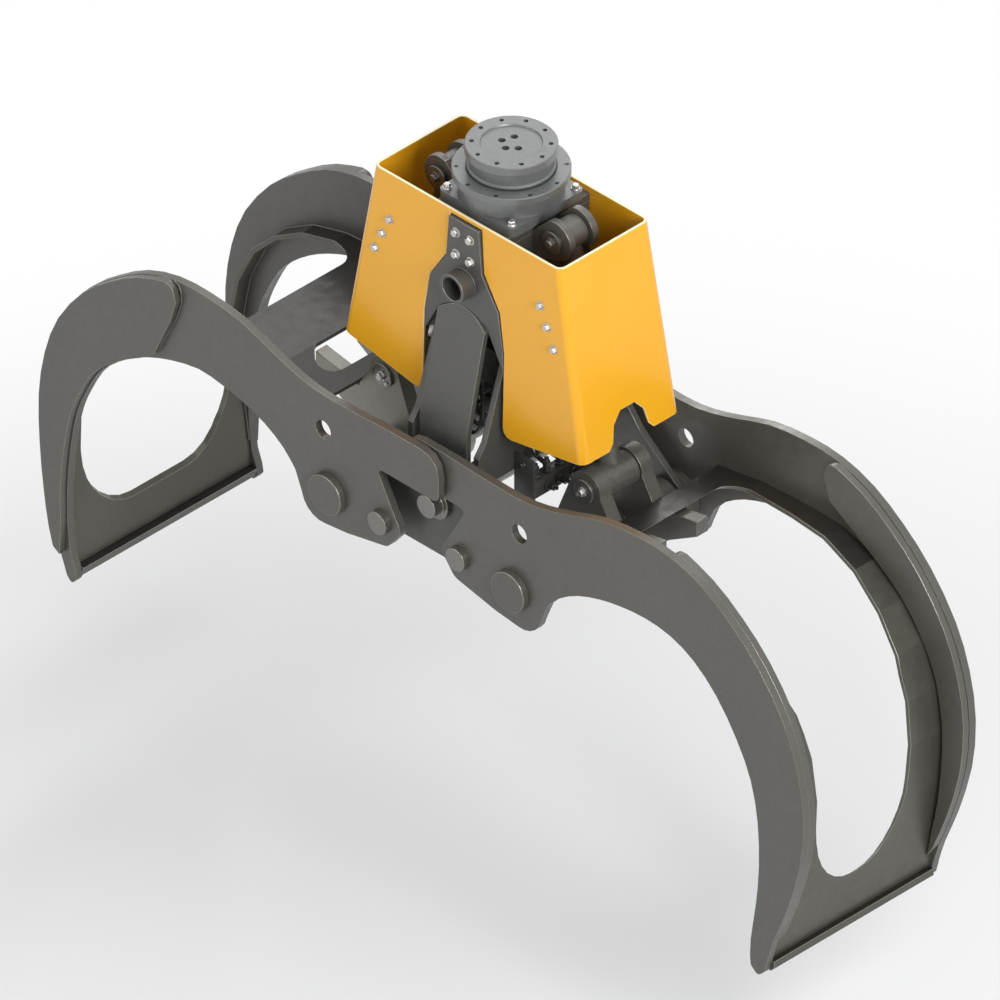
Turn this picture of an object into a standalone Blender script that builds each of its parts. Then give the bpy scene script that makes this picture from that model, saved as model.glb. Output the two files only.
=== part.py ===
"""Log grapple: a bypass timber grab on a rotator, open and standing on its tips. Metres, Z up."""
import math

import bmesh
import bpy
from mathutils import Vector

# driving dimensions
GRID = 0.0028            # one step of the layout grid used for the profiles
GAP = 0.0003             # space left between pieces that touch
PIVOT_Z = 0.8307         # height of both jaw pivots over the floor
PIVOT_X = 0.3472         # pivot distance from the middle
NARROW = 0.342           # outer face of the right jaw's side plates
WIDE = 0.372             # outer face of the left jaw's side plates
PLATE = 0.025            # jaw side plate
DOUBLER = 0.023          # extra plate on each tine
BACK = 0.014             # bent back plate
PIN_R = 0.049            # pivot pin
FIT = 0.0005             # running clearance on a radius
CAP_R = 0.0645
CAP_T = 0.022
BOSS_R = 0.075
STUB_R = 0.0365
STUB_OUT = 0.022
EYE_HOLE_R = 0.030
FRAME_OUT = 0.290        # outer face of the frame's lower side plates
FRAME_T = 0.020
HUB_HALF = 0.262
FACE_OUT = 0.188         # outer face of the upright frame plates
FACE_T = 0.020
WEB_X = 0.130
WEB_T = 0.020
HEAD_TOP = 0.995
HEAD_T = 0.025
LEG_HALF = 0.0924
LEG_T = 0.018
TUBE_R = 0.046
TUBE_BORE = TUBE_R - 0.010
TUBE_HALF = 0.236
TUBE_Z = 0.798
SHAFT_Z = 0.106
SHAFT_R = 0.045
LUG_IN = 0.060           # inner face of the jaw's cylinder lugs
LUG_T = 0.045
CLEVIS_T = 0.022
CLEVIS_R = 0.062
EYE_R = 0.053
BARREL_R = 0.040
BORE_R = BARREL_R - 0.010
ROD_R = 0.021
SLEEVE_R = 0.031
TOP_EYE_R = 0.046
TOP_EYE_HALF = BARREL_R - 0.009
UPPER_PIN_R = 0.028
LUG_PIN_R = 0.024
UPPER_PIN = (0.2268, 0.9856)   # x and height over the pivots
LOWER_PIN = (0.3976, 0.2464)
GLAND_AT = 0.415
ROD_END_AT = 0.130
SLEEVE_AT = 0.476
SHROUD_T = 0.008
SHROUD_TOP = (0.3696, 0.178, 1.014)
SHROUD_LOW = (0.476, 0.192, 0.406)
SHROUD_FOOT = 0.330
ROTOR_R = 0.1316
STATOR_R = 0.168
STATOR_TOP = 1.103
ROTOR_TOP = 1.1816

# right jaw profiles on the layout grid: x from the middle, z from the pivots
TOP_EDGE = [(40, 117), (124, 114), (165, 119), (205, 131), (250, 146), (300, 152), (345, 150),
            (389, 136), (430, 110)]
TOP_WIDE = [(467, 79), (503, 30), (523, -22), (532, -78), (531, -138), (526, -190), (519, -234),
            (508, -272)]
TOP_NARROW = [(468, 76), (503, 28), (523, -22), (532, -78), (527, -138), (509, -200), (491, -245),
              (482, -274)]
TIP_WIDE = [(505, -279), (501, -290, 4), (494, -298.5, 4), (487, -289, 3), (489, -278)]
TIP_NARROW = [(481, -279), (478, -290, 4), (469, -298.5, 5), (459, -290, 4), (458, -278)]
LOW_WIDE = [(495, -262), (499, -225), (499, -185), (496, -146), (490, -107), (483, -78),
            (472, -52), (455, -21), (436, 0), (411, 20), (383, 36), (350, 49)]
LOW_NARROW = [(459, -258), (466, -212), (470, -165), (468, -112), (458, -65), (438, -25),
              (410, 13), (378, 40), (345, 54)]
LOW_EDGE = [(310, 58), (276, 55), (247, 49), (216, 38), (190, 22), (173, 4)]
TINE_WIDE = [(503, -262), (501, -225), (501, -185), (498, -146), (492, -107), (485, -78),
             (474, -52), (457, -20), (437, 2), (412, 22), (384, 39), (366, 52)]
TINE_NARROW = [(481, -261), (488, -225), (496, -185), (502, -118), (497, -62), (484, -20),
               (457, 22), (430, 48), (401, 68), (376, 83)]
BACK_WIDE = [(180, 60), (243, 71), (305, 74), (355, 72), (402, 59), (442, 35), (474, 3),
             (497, -43), (508, -95), (510, -150), (507, -210), (497.5, -279.2)]
BACK_NARROW = [(180, 60), (243, 71), (305, 74), (352, 73), (400, 58), (440, 30), (470, -5),
               (488, -50), (494, -100), (490, -160), (483, -215), (475, -279.2)]
TAB_EDGE = [(21, 356), (25, 306), (48, 271), (55, 225), (55, 203), (36, 237)]
PORTS = [(195, 11), (121, 12), (-80, 10), (-6, 11)]

DARK = (0.105, 0.100, 0.090)
GREY = (0.165, 0.175, 0.170)
YELLOW = (0.86, 0.42, 0.03)
STEEL = (0.42, 0.42, 0.41)


def clear_scene():
    for thing in list(bpy.data.objects):
        bpy.data.objects.remove(thing, do_unlink=True)


def grid(points):
    return [(x * GRID, z * GRID) for x, z in points]


def spline(points, steps=2):
    """Smooth curve through the given points."""
    ends = [points[0]] + list(points) + [points[-1]]
    out = []
    for k in range(1, len(ends) - 2):
        a, b, c, d = (Vector(p) for p in ends[k - 1:k + 3])
        for s in range(steps):
            t = s / steps
            p = 0.5 * ((2 * b) + (c - a) * t + (2 * a - 5 * b + 4 * c - d) * t * t
                       + (3 * b - a - 3 * c + d) * t ** 3)
            out.append((p.x, p.y))
    out.append(tuple(points[-1]))
    return out


def arc(cx, cz, radius, start, end, steps):
    out = []
    for k in range(steps + 1):
        t = math.radians(start + (end - start) * k / steps)
        out.append((cx + radius * math.cos(t), cz + radius * math.sin(t)))
    return out


def fillet(points, steps=3):
    """Round the corners that carry a third number."""
    out = []
    n = len(points)
    for k, p in enumerate(points):
        if len(p) == 2:
            out.append(tuple(p))
            continue
        here = Vector(p[:2])
        before = (Vector(points[k - 1][:2]) - here).normalized()
        after = (Vector(points[(k + 1) % n][:2]) - here).normalized()
        half = before.angle(after) / 2
        reach = p[2] / math.tan(half)
        middle = here + (before + after).normalized() * (p[2] / math.sin(half))
        first = here + before * reach - middle
        last = here + after * reach - middle
        turn = first.angle_signed(last)
        base = math.atan2(first.y, first.x)
        for s in range(steps + 1):
            t = base - turn * s / steps
            out.append((middle.x + p[2] * math.cos(t), middle.y + p[2] * math.sin(t)))
    return out


def prism(points, low, high, axis="y"):
    """Flat outline pushed along one axis."""
    bm = bmesh.new()
    rings = []
    for level in (low, high):
        ring = []
        for u, v in points:
            place = {"y": (u, level, v), "x": (level, u, v), "z": (u, v, level)}[axis]
            ring.append(bm.verts.new(place))
        rings.append(ring)
    n = len(points)
    bm.faces.new(rings[0])
    bm.faces.new(list(reversed(rings[1])))
    for k in range(n):
        bm.faces.new((rings[0][k], rings[0][(k + 1) % n], rings[1][(k + 1) % n], rings[1][k]))
    bmesh.ops.recalc_face_normals(bm, faces=bm.faces)
    return bm


def box(x0, x1, y0, y1, z0, z1):
    return prism([(x0, z0), (x1, z0), (x1, z1), (x0, z1)], y0, y1)


def turned(profile, start, direction, sides=24, ring=False):
    """Revolve (along, radius) pairs round an axis; a ring's profile is closed on itself."""
    bm = bmesh.new()
    axis = Vector(direction).normalized()
    first = Vector((0, 1, 0)) if abs(axis.y) < 0.9 else Vector((1, 0, 0))
    second = axis.cross(first)
    loops = []
    for along, radius in profile:
        middle = Vector(start) + axis * along
        if radius == 0:
            loops.append([bm.verts.new(middle)])
            continue
        loop = []
        for k in range(sides):
            t = 2 * math.pi * (k + 0.5) / sides
            loop.append(bm.verts.new(middle + (first * math.cos(t) + second * math.sin(t)) * radius))
        loops.append(loop)
    pairs = list(zip(loops, loops[1:]))
    if ring:
        pairs.append((loops[-1], loops[0]))
    for a, b in pairs:
        for k in range(sides):
            m = (k + 1) % sides
            if len(a) == 1:
                bm.faces.new((a[0], b[k], b[m]))
            elif len(b) == 1:
                bm.faces.new((a[k], a[m], b[0]))
            else:
                bm.faces.new((a[k], a[m], b[m], b[k]))
    bmesh.ops.recalc_face_normals(bm, faces=bm.faces)
    return bm


def rod(start, direction, length, radius, sides=24):
    return turned([(0, 0), (0, radius), (length, radius), (length, 0)], start, direction, sides)


def tube(start, direction, length, outer, inner, sides=24):
    profile = [(0, outer), (length, outer), (length, inner), (0, inner)]
    return turned(profile, start, direction, sides, ring=True)


def joined(parts):
    bm = bmesh.new()
    for part in parts:
        mesh = bpy.data.meshes.new("piece")
        part.to_mesh(mesh)
        part.free()
        bm.from_mesh(mesh)
        bpy.data.meshes.remove(mesh)
    return bm


def paint(name, color, metallic, roughness):
    material = bpy.data.materials.new(name)
    material.use_nodes = True
    shader = material.node_tree.nodes["Principled BSDF"]
    shader.inputs["Base Color"].default_value = (*color, 1.0)
    shader.inputs["Metallic"].default_value = metallic
    shader.inputs["Roughness"].default_value = roughness
    return material


def place(name, bm, origin, color=DARK, metallic=0.2, roughness=0.5):
    """Make an object whose origin is its joint's axis, or the frame's middle."""
    at = Vector(origin)
    bmesh.ops.translate(bm, verts=bm.verts, vec=-at)
    mesh = bpy.data.meshes.new(name)
    bm.to_mesh(mesh)
    bm.free()
    obj = bpy.data.objects.new(name, mesh)
    obj.location = at
    bpy.context.scene.collection.objects.link(obj)
    if color is not None:
        mesh.materials.append(paint(name + "_paint", color, metallic, roughness))
    return obj


def boolean(obj, label, bm, operation="DIFFERENCE"):
    tool = place(obj.name + "_" + label, bm, obj.location, None)
    tool.hide_render = True
    tool.display_type = "WIRE"
    tool.hide_viewport = False
    change = obj.modifiers.new(label, "BOOLEAN")
    change.operation = operation
    change.solver = "EXACT"
    change.object = tool
    return obj


MID = (0, 0, PIVOT_Z)


def up(points):
    return [(x, z + PIVOT_Z) for x, z in points]


def jaw_outline(top, tip, low):
    ear = fillet([(34, 63), (-30, 63, 8), (-30, 117, 24), (30, 117)])
    lobe = arc(136, -14, 28, -10, -100, 5)
    end = fillet([(100, -38), (42, -26, 14), (21, 0, 12), (29, 10)])
    notch = fillet([(40, 30), (58, 63, 5), (44, 63)])
    points = ear + spline(TOP_EDGE + top) + fillet(tip) + spline(low + LOW_EDGE)
    points = points + lobe + end + notch
    return grid(points)


def mirrored(points, side):
    return [(side * x, z) for x, z in points]


def both_ways(points):
    return points + [(-x, z) for x, z in reversed(points)]


def tine_outline(top, inner):
    outer = [p for p in spline(TOP_EDGE + top) if p[0] > 352 and p[1] > -262]
    outer = [(x - 0.5, z - 0.5) for x, z in outer]
    end = fillet([(342, 104), (334, 130), (339, 148.5, 9), (352, 148.8)])
    return grid(end + outer + spline(inner))


def back_section(path):
    """The bent plate's section: its path moved half a thickness to each side."""
    line = [Vector(p) for p in grid(path)]
    over, under = [], []
    for k, p in enumerate(line):
        a = (p - line[k - 1]).normalized() if k else (line[1] - p).normalized()
        b = (line[k + 1] - p).normalized() if k < len(line) - 1 else a
        n = Vector((-(a + b).y, (a + b).x)).normalized()
        shift = n * (BACK / 2) / max(0.5, n.dot(Vector((-a.y, a.x))))
        over.append(tuple(p + shift))
        under.append(tuple(p - shift))
    return over + list(reversed(under))


def slanted(side, shape, start, finish, near, far):
    """Cutter through the bent plate: its outline is (share of the run, y) from start to finish."""
    top = Vector(start) * GRID
    foot = Vector(finish) * GRID
    run = (foot - top).normalized()
    across = Vector((-run.y, run.x))
    bm = bmesh.new()
    rings = []
    for depth in (near, far):
        ring = []
        for u, y in shape:
            p = top + run * u + across * depth
            ring.append(bm.verts.new((side * p.x, y, p.y + PIVOT_Z)))
        rings.append(ring)
    n = len(shape)
    bm.faces.new(rings[0])
    bm.faces.new(list(reversed(rings[1])))
    for k in range(n):
        bm.faces.new((rings[0][k], rings[0][(k + 1) % n], rings[1][(k + 1) % n], rings[1][k]))
    bmesh.ops.recalc_face_normals(bm, faces=bm.faces)
    return bm


def wide_opening(side):
    """Rounded opening of the left jaw, under its cross web."""
    start, finish = (305, 66), (500, -240)
    length = math.dist(start, finish) * GRID
    band = WIDE - PLATE - 0.052
    shape = fillet([(0, -band, 0.07), (length, -band, 0.19), (length, band, 0.19), (0, band, 0.07)], 7)
    return slanted(side, shape, start, finish, -0.16, 0.46)


def narrow_opening(side):
    """Tall opening of the right jaw, tapering to its foot."""
    start, finish = (215, 70), (484, -224)
    length = math.dist(start, finish) * GRID
    wide, slim = 95 * GRID, 63 * GRID
    half = [(length, 0), (length, slim, 0.17), (0.62 * length, 69 * GRID), (0.25 * length, 86 * GRID),
            (0, wide, 0.05)]
    shape = fillet(half[1:] + [(u, -y) + tuple(rest) for u, y, *rest in reversed(half[1:])], 7)
    return slanted(side, shape, start, finish, -0.16, 0.46)


def y_rod(x, z, y0, y1, radius, sides=24):
    return rod((x, y0, z + PIVOT_Z), (0, 1, 0), y1 - y0, radius, sides)


def build_jaw(name, side, outer, tines_outside):
    top, tip, low, tine, path, bar_x = (
        (TOP_WIDE, TIP_WIDE, LOW_WIDE, TINE_WIDE, BACK_WIDE, 486) if tines_outside else
        (TOP_NARROW, TIP_NARROW, LOW_NARROW, TINE_NARROW, BACK_NARROW, 466))
    pivot = (side * PIVOT_X, 0, PIVOT_Z)
    inner = outer - PLATE
    outline = up(mirrored(jaw_outline(top, tip, low), side))
    shape = tine_outline(top, tine)
    lugs_low = LOWER_PIN
    for end, sign in (("front", -1), ("rear", 1)):
        y0, y1 = sorted((sign * inner, sign * outer))
        plate = place(f"{name}_{end}_plate", prism(outline, y0, y1), pivot)
        b0, b1 = sorted((sign * (FRAME_OUT + 0.0035), sign * (inner + 0.004)))
        boolean(plate, "boss", y_rod(side * PIVOT_X, 0, b0, b1, BOSS_R), "UNION")
        boolean(plate, "bore", y_rod(side * PIVOT_X, 0, -0.5, 0.5, PIN_R + FIT))
        boolean(plate, "stub_hole", y_rod(side * 50 * GRID, 2.5 * GRID, -0.5, 0.5,
                                          STUB_R + GAP, 20))
        boolean(plate, "eye_hole", y_rod(side * 133 * GRID, 72 * GRID, -0.5, 0.5, EYE_HOLE_R, 20))
        s0, s1 = sorted((sign * (inner - 0.010), sign * (outer + STUB_OUT)))
        place(f"{name}_{end}_stub_pin", y_rod(side * 50 * GRID, 2.5 * GRID, s0, s1, STUB_R, 20),
              pivot, STEEL, 0.6, 0.35)
        if tines_outside:
            t0, t1 = sorted((sign * (outer + GAP), sign * (outer + GAP + DOUBLER)))
        else:
            t0, t1 = sorted((sign * (inner - GAP), sign * (inner - GAP - DOUBLER)))
        place(f"{name}_{end}_tine", prism(up(mirrored(shape, side)), t0, t1), pivot)
        l0, l1 = sorted((sign * LUG_IN, sign * (LUG_IN + LUG_T)))
        eye = (lugs_low[0] / GRID, lugs_low[1] / GRID)
        lug = (arc(eye[0], eye[1], 21, -8, 165, 9) + arc(124, 0, 37, 150, 300, 8)
               + [(200, 26), (240, 50), (240, 67.8), (182, 57.6), (178, 56.8), (177, 62)])
        lug = place(f"{name}_{end}_lug", prism(up(mirrored(grid(lug), side)), l0, l1), pivot)
        boolean(lug, "hub", y_rod(side * PIVOT_X, 0, -0.5, 0.5, BOSS_R + GAP))
        boolean(lug, "pin_hole", y_rod(side * lugs_low[0], lugs_low[1], -0.5, 0.5,
                                       LUG_PIN_R + GAP, 24))
        edge = LUG_IN + LUG_T
        profile = [(0, 0), (0, LUG_PIN_R), (edge + GAP - LUG_IN, LUG_PIN_R),
                   (edge + GAP - LUG_IN, 0.038), (edge + 0.012 - LUG_IN, 0.038),
                   (edge + 0.012 - LUG_IN, 0)]
        start = (side * lugs_low[0], sign * LUG_IN, lugs_low[1] + PIVOT_Z)
        place(f"{name}_{end}_lug_pin", turned(profile, start, (0, sign, 0), 24), pivot,
              STEEL, 0.6, 0.35)
    half = inner - GAP
    back = place(f"{name}_back_plate", prism(up(mirrored(back_section(path), side)), -half, half), pivot)
    if tines_outside:
        boolean(back, "oval", wide_opening(side))
        window = fillet([(200, -76, 16), (243, -36, 12), (243, 36, 12), (200, 76, 16)], 4)
        window = [(side * x * GRID, y * GRID) for x, y in window]
        boolean(back, "window", prism(window, PIVOT_Z + 0.10, PIVOT_Z + 0.30, "z"))
    else:
        boolean(back, "oval", narrow_opening(side))
    bar = [(bar_x, -279.6), (bar_x + 17, -279.6), (bar_x + 18, -287), (bar_x + 12, -293),
           (bar_x + 3, -290)]
    bar = up(mirrored(grid(bar), side))
    place(f"{name}_edge_bar", prism(bar, -half, half), pivot, STEEL, 0.5, 0.45)
    place(f"{name}_hub_tube", tube((side * PIVOT_X, -HUB_HALF, PIVOT_Z), (0, 1, 0), 2 * HUB_HALF,
                                   BOSS_R, PIN_R + FIT), pivot)


def build_cylinder(name, side):
    top = Vector((side * UPPER_PIN[0], 0, UPPER_PIN[1] + PIVOT_Z))
    low = Vector((side * LOWER_PIN[0], 0, LOWER_PIN[1] + PIVOT_Z))
    run = (low - top).normalized()
    length = (low - top).length
    half = LUG_IN - 0.003
    barrel = [(0.035, 0), (0.035, 0.030), (0.070, 0.031), (0.085, BARREL_R),
              (GLAND_AT - GAP, BARREL_R), (GLAND_AT - GAP, BORE_R), (0.105, BORE_R), (0.105, 0)]
    barrel = place(f"{name}_barrel", turned(barrel, top, run, 28), top, DARK)
    eye = rod((top.x, -TOP_EYE_HALF, top.z), (0, 1, 0), 2 * TOP_EYE_HALF, TOP_EYE_R, 28)
    boolean(barrel, "eye", eye, "UNION")
    boolean(barrel, "pin_hole", rod((top.x, -0.1, top.z), (0, 1, 0), 0.2, UPPER_PIN_R + FIT, 24))
    gland = [(GLAND_AT, ROD_R + FIT), (GLAND_AT, BARREL_R + 0.003), (GLAND_AT + 0.030, BARREL_R + 0.003),
             (GLAND_AT + 0.036, BARREL_R - 0.003), (GLAND_AT + 0.036, ROD_R + FIT)]
    place(f"{name}_gland", turned(gland, top, run, 28, ring=True), top, GREY)
    stem = turned([(ROD_END_AT, 0), (ROD_END_AT, BORE_R - FIT), (ROD_END_AT + 0.045, BORE_R - FIT),
                   (ROD_END_AT + 0.045, ROD_R), (SLEEVE_AT, ROD_R), (SLEEVE_AT, SLEEVE_R - 0.003),
                   (SLEEVE_AT + 0.003, SLEEVE_R), (length - 0.03, SLEEVE_R), (length - 0.03, 0)],
                  top, run, 28)
    stem = place(f"{name}_rod", stem, top, STEEL, 0.9, 0.2)
    boolean(stem, "eye", rod((low.x, -half, low.z), (0, 1, 0), 2 * half, EYE_R, 28), "UNION")
    face = TOP_EYE_HALF + 0.003
    reach = face + CLEVIS_T + 0.010
    place(f"{name}_upper_pin", rod((top.x, -reach, top.z), (0, 1, 0), 2 * reach, UPPER_PIN_R, 24),
          MID, STEEL, 0.6, 0.35)
    for end, sign in (("front", -1), ("rear", 1)):
        y0, y1 = sorted((sign * face, sign * (face + CLEVIS_T)))
        inner_x = WEB_X + WEB_T / 2 + GAP
        shape = ([(inner_x, UPPER_PIN[1] - 0.10), (inner_x + 0.035, UPPER_PIN[1] - 0.09)]
                 + arc(UPPER_PIN[0], UPPER_PIN[1], CLEVIS_R, -60, 110, 10)
                 + [(inner_x, HEAD_TOP - 0.014)])
        lug = place(f"{name}_clevis_{end}", prism(up(mirrored(shape, side)), y0, y1), MID)
        boolean(lug, "hole", rod((top.x, -0.2, top.z), (0, 1, 0), 0.4, UPPER_PIN_R + GAP, 24))


def arch(raise_by=0.0):
    """Underside of the upright plate, and the top of the leg, as one arc."""
    wide = LEG_HALF + 0.0084
    return [(wide * k / 4, (256 - 18 * (k / 4) ** 2) * GRID + raise_by) for k in range(-4, 5)]


def build_frame():
    for end, sign in (("front", -1), ("rear", 1)):
        y0, y1 = sorted((sign * (FACE_OUT - FACE_T), sign * FACE_OUT))
        half = grid(TAB_EDGE[:5])
        outline = arch(GAP) + half[::-1] + [(-x, z) for x, z in half]
        face = place(f"frame_{end}_plate", prism(up(outline), y0, y1), MID, GREY)
        boolean(face, "tube_hole", y_rod(0, TUBE_Z, -0.5, 0.5, TUBE_R + GAP))
        top_z = 258 * GRID
        slope = (0.2697 - FACE_OUT) / (top_z - 0.353)
        leg = [(FACE_OUT, top_z), (0.2697, 0.353), (0.2697, 0.20), (0.2697 - LEG_T, 0.20),
               (0.2697 - LEG_T, 0.353 - slope * LEG_T), (FACE_OUT - LEG_T, top_z)]
        leg = [(sign * y, z) for y, z in leg]
        leg = place(f"frame_{end}_leg", prism(up(leg), -LEG_HALF, LEG_HALF, "x"), MID, GREY)
        boolean(leg, "arch", prism(up(arch() + [(0.12, 0.8), (-0.12, 0.8)]), -0.5, 0.5))
        y0, y1 = sorted((sign * (FRAME_OUT - FRAME_T), sign * FRAME_OUT))
        right = arc(124, 0, 28, -100, 70, 9) + [(84, 66, 10), (66, 88, 8)]
        low = fillet(right + [(-p[0],) + tuple(p[1:]) for p in reversed(right)])
        side = place(f"frame_{end}_side", prism(up(grid(low)), y0, y1), MID, DARK)
        for label, x, z, r in (("left_bore", -PIVOT_X, 0, PIN_R + GAP),
                               ("right_bore", PIVOT_X, 0, PIN_R + GAP),
                               ("shaft_hole", 0, SHAFT_Z, SHAFT_R + GAP)):
            boolean(side, label, y_rod(x, z, -0.5, 0.5, r))
    place("frame_cross_tube", tube((0, -TUBE_HALF, TUBE_Z + PIVOT_Z), (0, 1, 0), 2 * TUBE_HALF,
                                   TUBE_R, TUBE_BORE), MID, GREY)
    shaft = [(-0.338, 0), (-0.338, 0.036), (-0.306, 0.036), (-0.306, 0.054),
             (-FRAME_OUT - GAP, 0.054), (-FRAME_OUT - GAP, SHAFT_R)]
    shaft = shaft + [(-a, r) for a, r in reversed(shaft)]
    place("frame_centre_shaft", turned(shaft, (0, 0, SHAFT_Z + PIVOT_Z), (0, 1, 0)), MID, STEEL,
          0.5, 0.4)
    for end, side in (("left", -1), ("right", 1)):
        face = FACE_OUT - FACE_T - GAP
        foot = FRAME_OUT - FRAME_T - GAP
        half = [(face, HEAD_TOP - HEAD_T - GAP), (face, 0.57), (0.240, 0.34), (foot, 0.30),
                (foot, 0.20), (0.12, 0.20), (0.08, 0.26)]
        x0 = side * WEB_X - WEB_T / 2
        web = prism(up(half + [(-y, z) for y, z in reversed(half)]), x0, x0 + WEB_T, "x")
        web = place(f"frame_{end}_web", web, MID, DARK)
        for front in (-1, 1):
            boolean(web, f"hole_{front + 1}", rod((x0 - 0.1, 0, PIVOT_Z + 0.70 + front * 0.1),
                                                  (1, 0, 0), 0.2, 0.035, 20))
    inside = SHROUD_TOP[1] - SHROUD_T + 0.0001
    face = FACE_OUT - FACE_T - GAP
    edge = WEB_X + WEB_T / 2
    head = [(-edge, inside), (-0.062, inside), (-0.061, face), (0.061, face), (0.062, inside),
            (edge, inside)]
    head = head + [(x, -y) for x, y in reversed(head)]
    place("frame_head_plate", prism(head, PIVOT_Z + HEAD_TOP - HEAD_T, PIVOT_Z + HEAD_TOP, "z"),
          MID, DARK)
    wide = WEB_X - WEB_T / 2 - GAP
    block = box(-wide, wide, -0.085, 0.085, PIVOT_Z + 0.40, PIVOT_Z + 0.52)
    block = place("frame_valve_block", block, MID, GREY)
    ports = [rod((x, y, PIVOT_Z + 0.49), (0, 0, 1), 0.1, 0.014, 16)
             for x, y in ((-0.05, -0.04), (0.05, -0.04), (-0.05, 0.04), (0.05, 0.04))]
    boolean(block, "ports", joined(ports))


def build_pins():
    for end, side, outer in (("left", -1, WIDE), ("right", 1, NARROW)):
        place(f"pivot_pin_{end}", y_rod(side * PIVOT_X, 0, -outer, outer, PIN_R), MID, STEEL,
              0.6, 0.35)
        for face, sign in (("front", -1), ("rear", 1)):
            cap = [(0, 0), (0, CAP_R), (CAP_T - 0.002, CAP_R), (CAP_T, CAP_R - 0.002), (CAP_T, 0)]
            start = (side * PIVOT_X, sign * (outer + GAP), PIVOT_Z)
            place(f"pivot_cap_{end}_{face}", turned(cap, start, (0, sign, 0)), MID)


def rounded_ring(half_x, half_y, radius):
    return fillet([(-half_x, -half_y, radius), (half_x, -half_y, radius),
                   (half_x, half_y, radius), (-half_x, half_y, radius)], 4)


def build_shroud():
    tx, ty, tz = SHROUD_TOP
    lx, ly, lz = SHROUD_LOW
    more = (lz - SHROUD_FOOT) / (tz - lz)
    fx = lx + (lx - tx) * more
    fy = ly + (ly - ty) * more
    bm = bmesh.new()
    loops = []
    for x, y, z, inset in ((fx, fy, SHROUD_FOOT, 0), (tx, ty, tz, 0), (tx, ty, tz, SHROUD_T),
                           (fx, fy, SHROUD_FOOT, SHROUD_T)):
        ring = rounded_ring(x - inset, y - inset, 0.026 - inset)
        loops.append([bm.verts.new((px, py, z + PIVOT_Z)) for px, py in ring])
    for a, b in zip(loops, loops[1:] + loops[:1]):
        n = len(a)
        for k in range(n):
            bm.faces.new((a[k], a[(k + 1) % n], b[(k + 1) % n], b[k]))
    bmesh.ops.recalc_face_normals(bm, faces=bm.faces)
    shroud = place("shroud", bm, MID, YELLOW, 0.0, 0.3)
    grow = 1.2
    slot = [(x + grow, z + (grow if k < 2 else 0)) for k, (x, z) in enumerate(TAB_EDGE[:4])]
    half = slot + [(57, 130), (70, 127.4), (170, 145), (200, 148), (200, 90)]
    half[4] = (56.2, 126, 10)
    outline = fillet(half)
    outline = outline + [(-x, z) for x, z in reversed(outline)]
    boolean(shroud, "face_cut", prism(up(grid(outline)), -0.5, 0.5))
    notch = [(34, 110), (36, 140), (25, 152), (21, 170), (10, 182)]
    notch = notch + [(-y, z) for y, z in reversed(notch)]
    boolean(shroud, "side_cut", prism(up(grid(notch)), -0.8, 0.8, "x"))


def build_rotator():
    low = PIVOT_Z + HEAD_TOP + GAP
    top = PIVOT_Z + STATOR_TOP
    body = turned([(0, 0), (0, 0.150), (top - low - 0.022, 0.150), (top - low - 0.022, STATOR_R),
                   (top - low - 0.002, STATOR_R), (top - low, STATOR_R - 0.002), (top - low, 0)],
                  (0, 0, low), (0, 0, 1), 40)
    body = place("rotator_housing", body, MID, GREY, 0.3, 0.4)
    foot = fillet([(-0.148, -0.145, 0.02), (0.148, -0.145, 0.02), (0.148, 0.145, 0.02),
                   (-0.148, 0.145, 0.02)])
    boolean(body, "foot", prism(foot, low, low + 0.030, "z"), "UNION")
    holes = []
    for k in range(10):
        t = 2 * math.pi * (k + 0.3) / 10
        holes.append(rod((0.154 * math.cos(t), 0.154 * math.sin(t), top - 0.012), (0, 0, 1), 0.05,
                         0.007, 12))
    boolean(body, "bolt_holes", joined(holes))
    base = top + GAP
    high = PIVOT_Z + ROTOR_TOP
    rise = high - base
    profile = [(0, 0), (0, 0.126), (0.008, 0.126), (0.012, 0.121), (rise - 0.032, 0.125),
               (rise - 0.026, ROTOR_R), (rise - 0.002, ROTOR_R), (rise, ROTOR_R - 0.002),
               (rise, 0.0885), (rise - 0.004, 0.0865), (rise - 0.004, 0)]
    flange = turned(profile, (0, 0, base), (0, 0, 1), 40)
    flange = place("rotator_flange", flange, (0, 0, base), GREY, 0.3, 0.4)
    holes = []
    for k in range(10):
        t = 2 * math.pi * (k + 0.15) / 10
        holes.append(rod((0.111 * math.cos(t), 0.111 * math.sin(t), high - 0.020), (0, 0, 1), 0.05,
                         0.007, 12))
    for angle, far in PORTS:
        t = math.radians(angle)
        holes.append(rod((far * GRID * math.cos(t), far * GRID * math.sin(t), high - 0.024),
                         (0, 0, 1), 0.05, 0.011, 16))
    boolean(flange, "holes", joined(holes))


def main():
    clear_scene()
    build_rotator()
    build_frame()
    build_shroud()
    build_pins()
    build_jaw("left_jaw", -1, WIDE, True)
    build_jaw("right_jaw", 1, NARROW, False)
    build_cylinder("left_cylinder", -1)
    build_cylinder("right_cylinder", 1)


main()
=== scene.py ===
import math

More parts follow.
